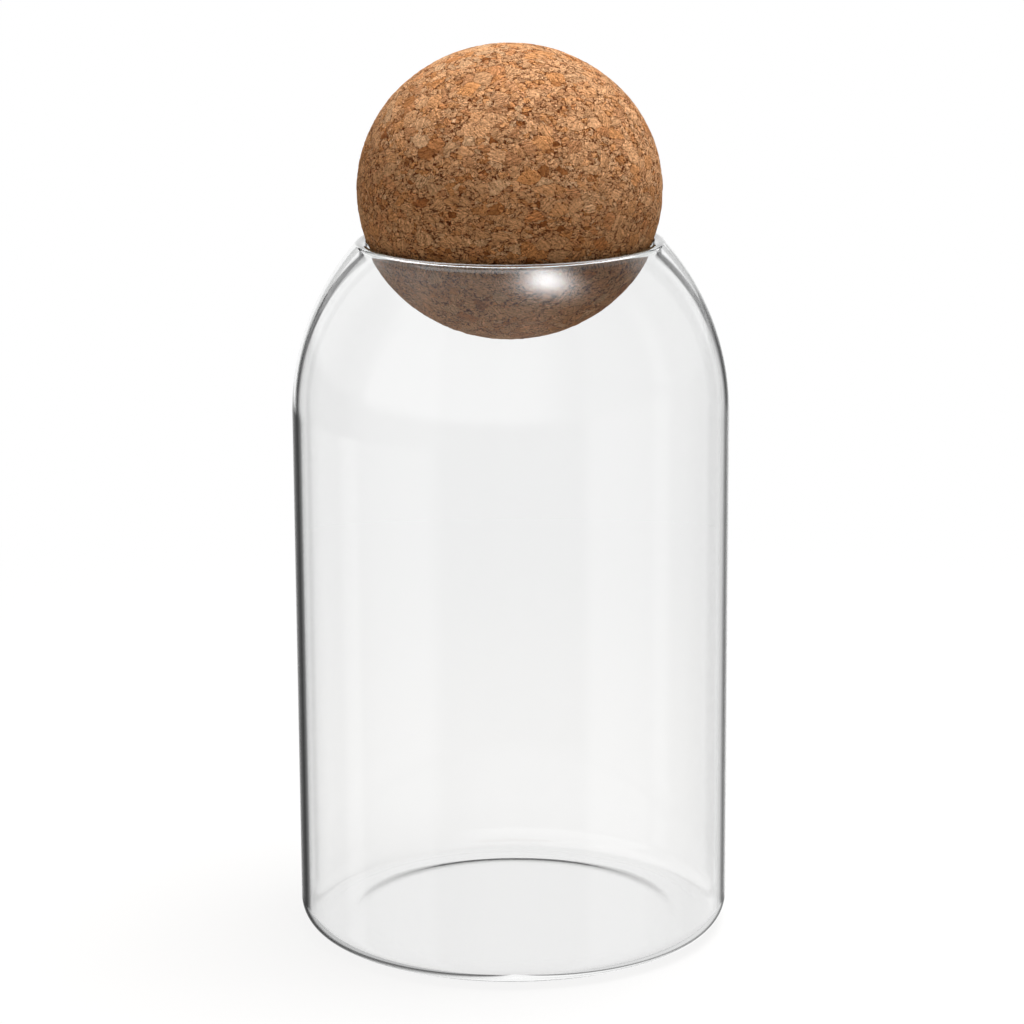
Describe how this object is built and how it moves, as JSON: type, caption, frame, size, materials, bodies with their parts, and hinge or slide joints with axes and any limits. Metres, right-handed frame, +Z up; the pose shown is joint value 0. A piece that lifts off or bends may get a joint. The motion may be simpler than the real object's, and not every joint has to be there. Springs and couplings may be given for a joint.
{
  "type": "glass storage jar with cork ball lid",
  "caption": "Clear glass storage jar with a straight round wall and a drawn-in shoulder, closed by a ground cork ball that rests in the mouth and lifts off.",
  "frame": {"origin": "centre of the foot, on the surface that the jar stands on", "axes": "+Z up along the jar's axis, through the middle of the ball; the jar is round, so X and Y are free"},
  "size_m": [0.1, 0.1, 0.2058],
  "materials": {
    "clear_glass": "polished",
    "cork": "matte"
  },
  "bodies": {
    "jar": {"glass_jar": "clear_glass"},
    "ball": {"cork_ball": "cork"}
  },
  "joints": [
    {"name": "ball_lift", "type": "slide", "parent": "jar", "child": "ball", "axis": [0, 0, 1], "range_m": [0, 0.1]}
  ]
}
